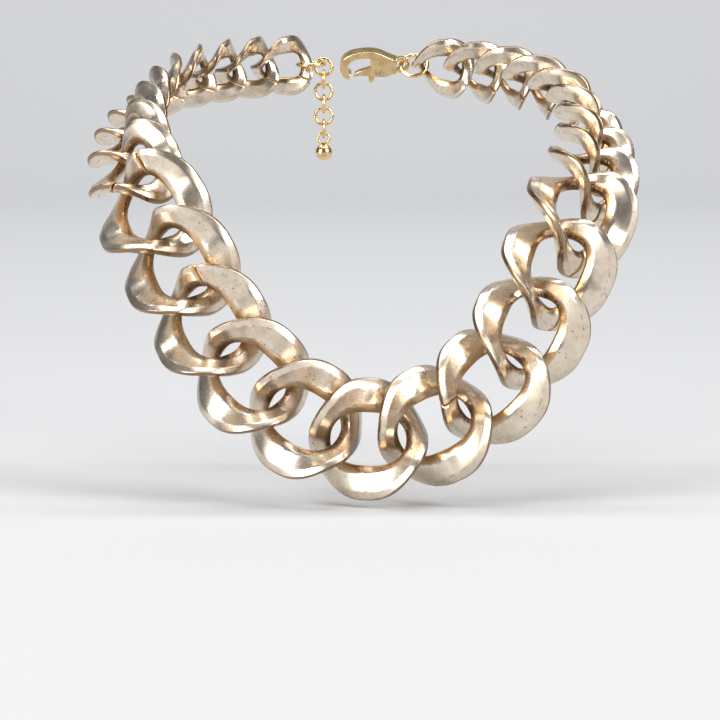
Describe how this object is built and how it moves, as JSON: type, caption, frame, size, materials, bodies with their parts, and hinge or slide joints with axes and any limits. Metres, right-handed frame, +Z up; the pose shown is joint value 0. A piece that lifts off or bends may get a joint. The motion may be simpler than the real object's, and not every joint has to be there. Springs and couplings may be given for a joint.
{
  "type": "chain necklace",
  "caption": "Chunky graduated curb-chain necklace in champagne gold tone, posed as worn, with a lobster clasp and a short extender at the nape.",
  "frame": {"origin": "middle of the neck opening, on the neck axis at the height of the nape", "axes": "+Z up, -Y the wearer's front, +X to the right as seen from the front"},
  "size_m": [0.1776, 0.1535, 0.1423],
  "materials": {
    "champagne_links": "pale champagne-gold plating, soft gloss with fine scratches",
    "gold_findings": "gold-tone plating, glossy",
    "clasp_steel": "bright steel"
  },
  "bodies": {
    "left_link_14": {"left_link_14": "champagne_links"},
    "left_link_13": {"left_link_13": "champagne_links"},
    "left_link_12": {"left_link_12": "champagne_links"},
    "left_link_11": {"left_link_11": "champagne_links"},
    "left_link_10": {"left_link_10": "champagne_links"},
    "left_link_09": {"left_link_09": "champagne_links"},
    "left_link_08": {"left_link_08": "champagne_links"},
    "left_link_07": {"left_link_07": "champagne_links"},
    "left_link_06": {"left_link_06": "champagne_links"},
    "left_link_05": {"left_link_05": "champagne_links"},
    "left_link_04": {"left_link_04": "champagne_links"},
    "left_link_03": {"left_link_03": "champagne_links"},
    "left_link_02": {"left_link_02": "champagne_links"},
    "left_link_01": {"left_link_01": "champagne_links"},
    "front_centre_link": {"front_centre_link": "champagne_links"},
    "right_link_01": {"right_link_01": "champagne_links"},
    "right_link_02": {"right_link_02": "champagne_links"},
    "right_link_03": {"right_link_03": "champagne_links"},
    "right_link_04": {"right_link_04": "champagne_links"},
    "right_link_05": {"right_link_05": "champagne_links"},
    "right_link_06": {"right_link_06": "champagne_links"},
    "right_link_07": {"right_link_07": "champagne_links"},
    "right_link_08": {"right_link_08": "champagne_links"},
    "right_link_09": {"right_link_09": "champagne_links"},
    "right_link_10": {"right_link_10": "champagne_links"},
    "right_link_11": {"right_link_11": "champagne_links"},
    "right_link_12": {"right_link_12": "champagne_links"},
    "right_link_13": {"right_link_13": "champagne_links"},
    "right_link_14": {"right_link_14": "champagne_links"},
    "left_jump_ring": {"left_jump_ring": "gold_findings"},
    "right_jump_ring": {"right_jump_ring": "gold_findings"},
    "clasp_body": {"clasp_body": "gold_findings", "clasp_pin": "clasp_steel", "clasp_spring": "clasp_steel"},
    "clasp_lever": {"clasp_lever": "gold_findings"},
    "extender_ring_1": {"extender_ring_1": "gold_findings"},
    "extender_ring_2": {"extender_ring_2": "gold_findings"},
    "extender_ring_3": {"extender_ring_3": "gold_findings"},
    "extender_ring_4": {"extender_ring_4": "gold_findings"},
    "extender_ring_5": {"extender_ring_5": "gold_findings"},
    "extender_ring_6": {"extender_ring_6": "gold_findings"},
    "extender_drop": {"extender_drop": "gold_findings"}
  },
  "joints": [
    {"name": "left_fold_01", "type": "hinge", "parent": "front_centre_link", "child": "left_link_01", "pos_m": [-0.00895, -0.07972, -0.10001], "axis": [0.3754, 0.1367, 0.9167], "range_deg": [0, 10]},
    {"name": "right_fold_01", "type": "hinge", "parent": "front_centre_link", "child": "right_link_01", "pos_m": [0.01215, -0.07961, -0.10108], "axis": [0.2783, -0.1434, -0.9497], "range_deg": [0, 10]},
    {"name": "left_fold_02", "type": "hinge", "parent": "left_link_01", "child": "left_link_02", "pos_m": [-0.02729, -0.07771, -0.08891], "axis": [0.6213, 0.0722, 0.7802], "range_deg": [0, 15]},
    {"name": "right_fold_02", "type": "hinge", "parent": "right_link_01", "child": "right_link_02", "pos_m": [0.03139, -0.07732, -0.09175], "axis": [0.567, -0.0725, -0.8205], "range_deg": [0, 15]},
    {"name": "left_fold_03", "type": "hinge", "parent": "left_link_02", "child": "left_link_03", "pos_m": [-0.04265, -0.07342, -0.07444], "axis": [0.7859, -0.0115, 0.6182], "range_deg": [0, 15]},
    {"name": "right_fold_03", "type": "hinge", "parent": "right_link_02", "child": "right_link_03", "pos_m": [0.04671, -0.07304, -0.07736], "axis": [0.8239, 0.0527, -0.5643], "range_deg": [0, 15]},
    {"name": "left_fold_04", "type": "hinge", "parent": "left_link_03", "child": "left_link_04", "pos_m": [-0.0531, -0.06662, -0.05685], "axis": [0.8702, -0.1126, 0.4797], "range_deg": [0, 15]},
    {"name": "right_fold_04", "type": "hinge", "parent": "right_link_03", "child": "right_link_04", "pos_m": [0.05586, -0.06721, -0.05872], "axis": [0.8925, 0.1666, -0.4192], "range_deg": [0, 15]},
    {"name": "left_fold_05", "type": "hinge", "parent": "left_link_04", "child": "left_link_05", "pos_m": [-0.06237, -0.05797, -0.03939], "axis": [0.8185, -0.1137, 0.5631], "range_deg": [0, 15]},
    {"name": "right_fold_05", "type": "hinge", "parent": "right_link_04", "child": "right_link_05", "pos_m": [0.06397, -0.0586, -0.04073], "axis": [0.8273, 0.1635, -0.5374], "range_deg": [0, 15]},
    {"name": "left_fold_06", "type": "hinge", "parent": "left_link_05", "child": "left_link_06", "pos_m": [-0.07122, -0.04593, -0.02403], "axis": [0.8684, -0.0652, 0.4915], "range_deg": [0, 15]},
    {"name": "right_fold_06", "type": "hinge", "parent": "right_link_05", "child": "right_link_06", "pos_m": [0.07109, -0.04461, -0.02612], "axis": [0.8362, 0.1194, -0.5353], "range_deg": [0, 15]},
    {"name": "left_fold_07", "type": "hinge", "parent": "left_link_06", "child": "left_link_07", "pos_m": [-0.075, -0.03027, -0.01488], "axis": [0.861, -0.1094, 0.4968], "range_deg": [0, 15]},
    {"name": "right_fold_07", "type": "hinge", "parent": "right_link_06", "child": "right_link_07", "pos_m": [0.07444, -0.02843, -0.0177], "axis": [0.7993, 0.1448, -0.5833], "range_deg": [0, 15]},
    {"name": "left_fold_08", "type": "hinge", "parent": "left_link_07", "child": "left_link_08", "pos_m": [-0.076, -0.01496, -0.00798], "axis": [0.8172, -0.2609, 0.5138], "range_deg": [0, 15]},
    {"name": "right_fold_08", "type": "hinge", "parent": "right_link_07", "child": "right_link_08", "pos_m": [0.07549, -0.013, -0.01105], "axis": [0.7366, 0.2837, -0.6139], "range_deg": [0, 15]},
    {"name": "left_fold_09", "type": "hinge", "parent": "left_link_08", "child": "left_link_09", "pos_m": [-0.07424, -0.00071, -0.00204], "axis": [0.7131, -0.3786, 0.5901], "range_deg": [0, 15]},
    {"name": "right_fold_09", "type": "hinge", "parent": "right_link_08", "child": "right_link_09", "pos_m": [0.07439, 0.00128, -0.00503], "axis": [0.6258, 0.3732, -0.6849], "range_deg": [0, 15]},
    {"name": "left_fold_10", "type": "hinge", "parent": "left_link_09", "child": "left_link_10", "pos_m": [-0.0702, 0.01252, 0.00283], "axis": [0.5638, -0.4751, 0.6756], "range_deg": [0, 15]},
    {"name": "right_fold_10", "type": "hinge", "parent": "right_link_09", "child": "right_link_10", "pos_m": [0.07079, 0.01449, 0.00019], "axis": [0.4656, 0.4895, -0.7373], "range_deg": [0, 15]},
    {"name": "left_fold_11", "type": "hinge", "parent": "left_link_10", "child": "left_link_11", "pos_m": [-0.06359, 0.02445, 0.00687], "axis": [0.3869, -0.5132, 0.7661], "range_deg": [0, 15]},
    {"name": "right_fold_11", "type": "hinge", "parent": "right_link_10", "child": "right_link_11", "pos_m": [0.06369, 0.02597, 0.00463], "axis": [0.3059, 0.535, -0.7875], "range_deg": [0, 15]},
    {"name": "left_fold_12", "type": "hinge", "parent": "left_link_11", "child": "left_link_12", "pos_m": [-0.0548, 0.03473, 0.00962], "axis": [0.2937, -0.4607, 0.8375], "range_deg": [0, 15]},
    {"name": "right_fold_12", "type": "hinge", "parent": "right_link_11", "child": "right_link_12", "pos_m": [0.05458, 0.03586, 0.00779], "axis": [0.2526, 0.4691, -0.8463], "range_deg": [0, 15]},
    {"name": "left_fold_13", "type": "hinge", "parent": "left_link_12", "child": "left_link_13", "pos_m": [-0.04491, 0.04363, 0.01107], "axis": [0.2413, -0.4282, 0.8709], "range_deg": [0, 15]},
    {"name": "right_fold_13", "type": "hinge", "parent": "right_link_12", "child": "right_link_13", "pos_m": [0.04469, 0.04468, 0.00967], "axis": [0.2104, 0.4379, -0.874], "range_deg": [0, 15]},
    {"name": "left_fold_14", "type": "hinge", "parent": "left_link_13", "child": "left_link_14", "pos_m": [-0.03395, 0.05042, 0.012], "axis": [0.1321, -0.4413, 0.8876], "range_deg": [0, 15]},
    {"name": "right_fold_14", "type": "hinge", "parent": "right_link_13", "child": "right_link_14", "pos_m": [0.03369, 0.05133, 0.01103], "axis": [0.0934, 0.4557, -0.8852], "range_deg": [0, 15]},
    {"name": "left_jump_swing", "type": "hinge", "parent": "left_link_14", "child": "left_jump_ring", "pos_m": [-0.01948, 0.05432, 0.01268], "axis": [0.0795, -0.4485, 0.8902], "range_deg": [0, 14]},
    {"name": "right_jump_swing", "type": "hinge", "parent": "right_link_14", "child": "right_jump_ring", "pos_m": [0.01914, 0.05479, 0.01219], "axis": [0.0387, 0.4604, -0.8869], "range_deg": [0, 14]},
    {"name": "clasp_swing", "type": "hinge", "parent": "right_jump_ring", "child": "clasp_body", "pos_m": [0.01321, 0.0562, 0.01267], "axis": [0.0387, 0.4604, -0.8869], "range_deg": [0, 25]},
    {"name": "clasp_lever_press", "type": "hinge", "parent": "clasp_body", "child": "clasp_lever", "pos_m": [0.00526, 0.05706, 0.01094], "axis": [-0.0049, 0.8876, 0.4605], "range_deg": [0, 24], "stiffness_Nm_per_rad": 0.0006, "springref_deg": -20.05},
    {"name": "extender_swing_1", "type": "hinge", "parent": "left_jump_ring", "child": "extender_ring_1", "pos_m": [-0.01357, 0.05591, 0.01295], "axis": [0, 1, 0], "range_deg": [-12, 7]},
    {"name": "extender_swing_2", "type": "hinge", "parent": "extender_ring_1", "child": "extender_ring_2", "pos_m": [-0.01357, 0.05591, 0.00885], "axis": [1, 0, 0], "range_deg": [-12, 22]},
    {"name": "extender_swing_3", "type": "hinge", "parent": "extender_ring_2", "child": "extender_ring_3", "pos_m": [-0.01357, 0.05591, 0.0046], "axis": [0, 1, 0], "range_deg": [-12, 22]},
    {"name": "extender_swing_4", "type": "hinge", "parent": "extender_ring_3", "child": "extender_ring_4", "pos_m": [-0.01357, 0.05591, 0.00035], "axis": [1, 0, 0], "range_deg": [-12, 22]},
    {"name": "extender_swing_5", "type": "hinge", "parent": "extender_ring_4", "child": "extender_ring_5", "pos_m": [-0.01357, 0.05591, -0.0039], "axis": [0, 1, 0], "range_deg": [-12, 22]},
    {"name": "extender_swing_6", "type": "hinge", "parent": "extender_ring_5", "child": "extender_ring_6", "pos_m": [-0.01357, 0.05591, -0.00815], "axis": [1, 0, 0], "range_deg": [-12, 22]},
    {"name": "extender_drop_swing", "type": "hinge", "parent": "extender_ring_6", "child": "extender_drop", "pos_m": [-0.01357, 0.05591, -0.0124], "axis": [0, 1, 0], "range_deg": [-12, 22]}
  ]
}
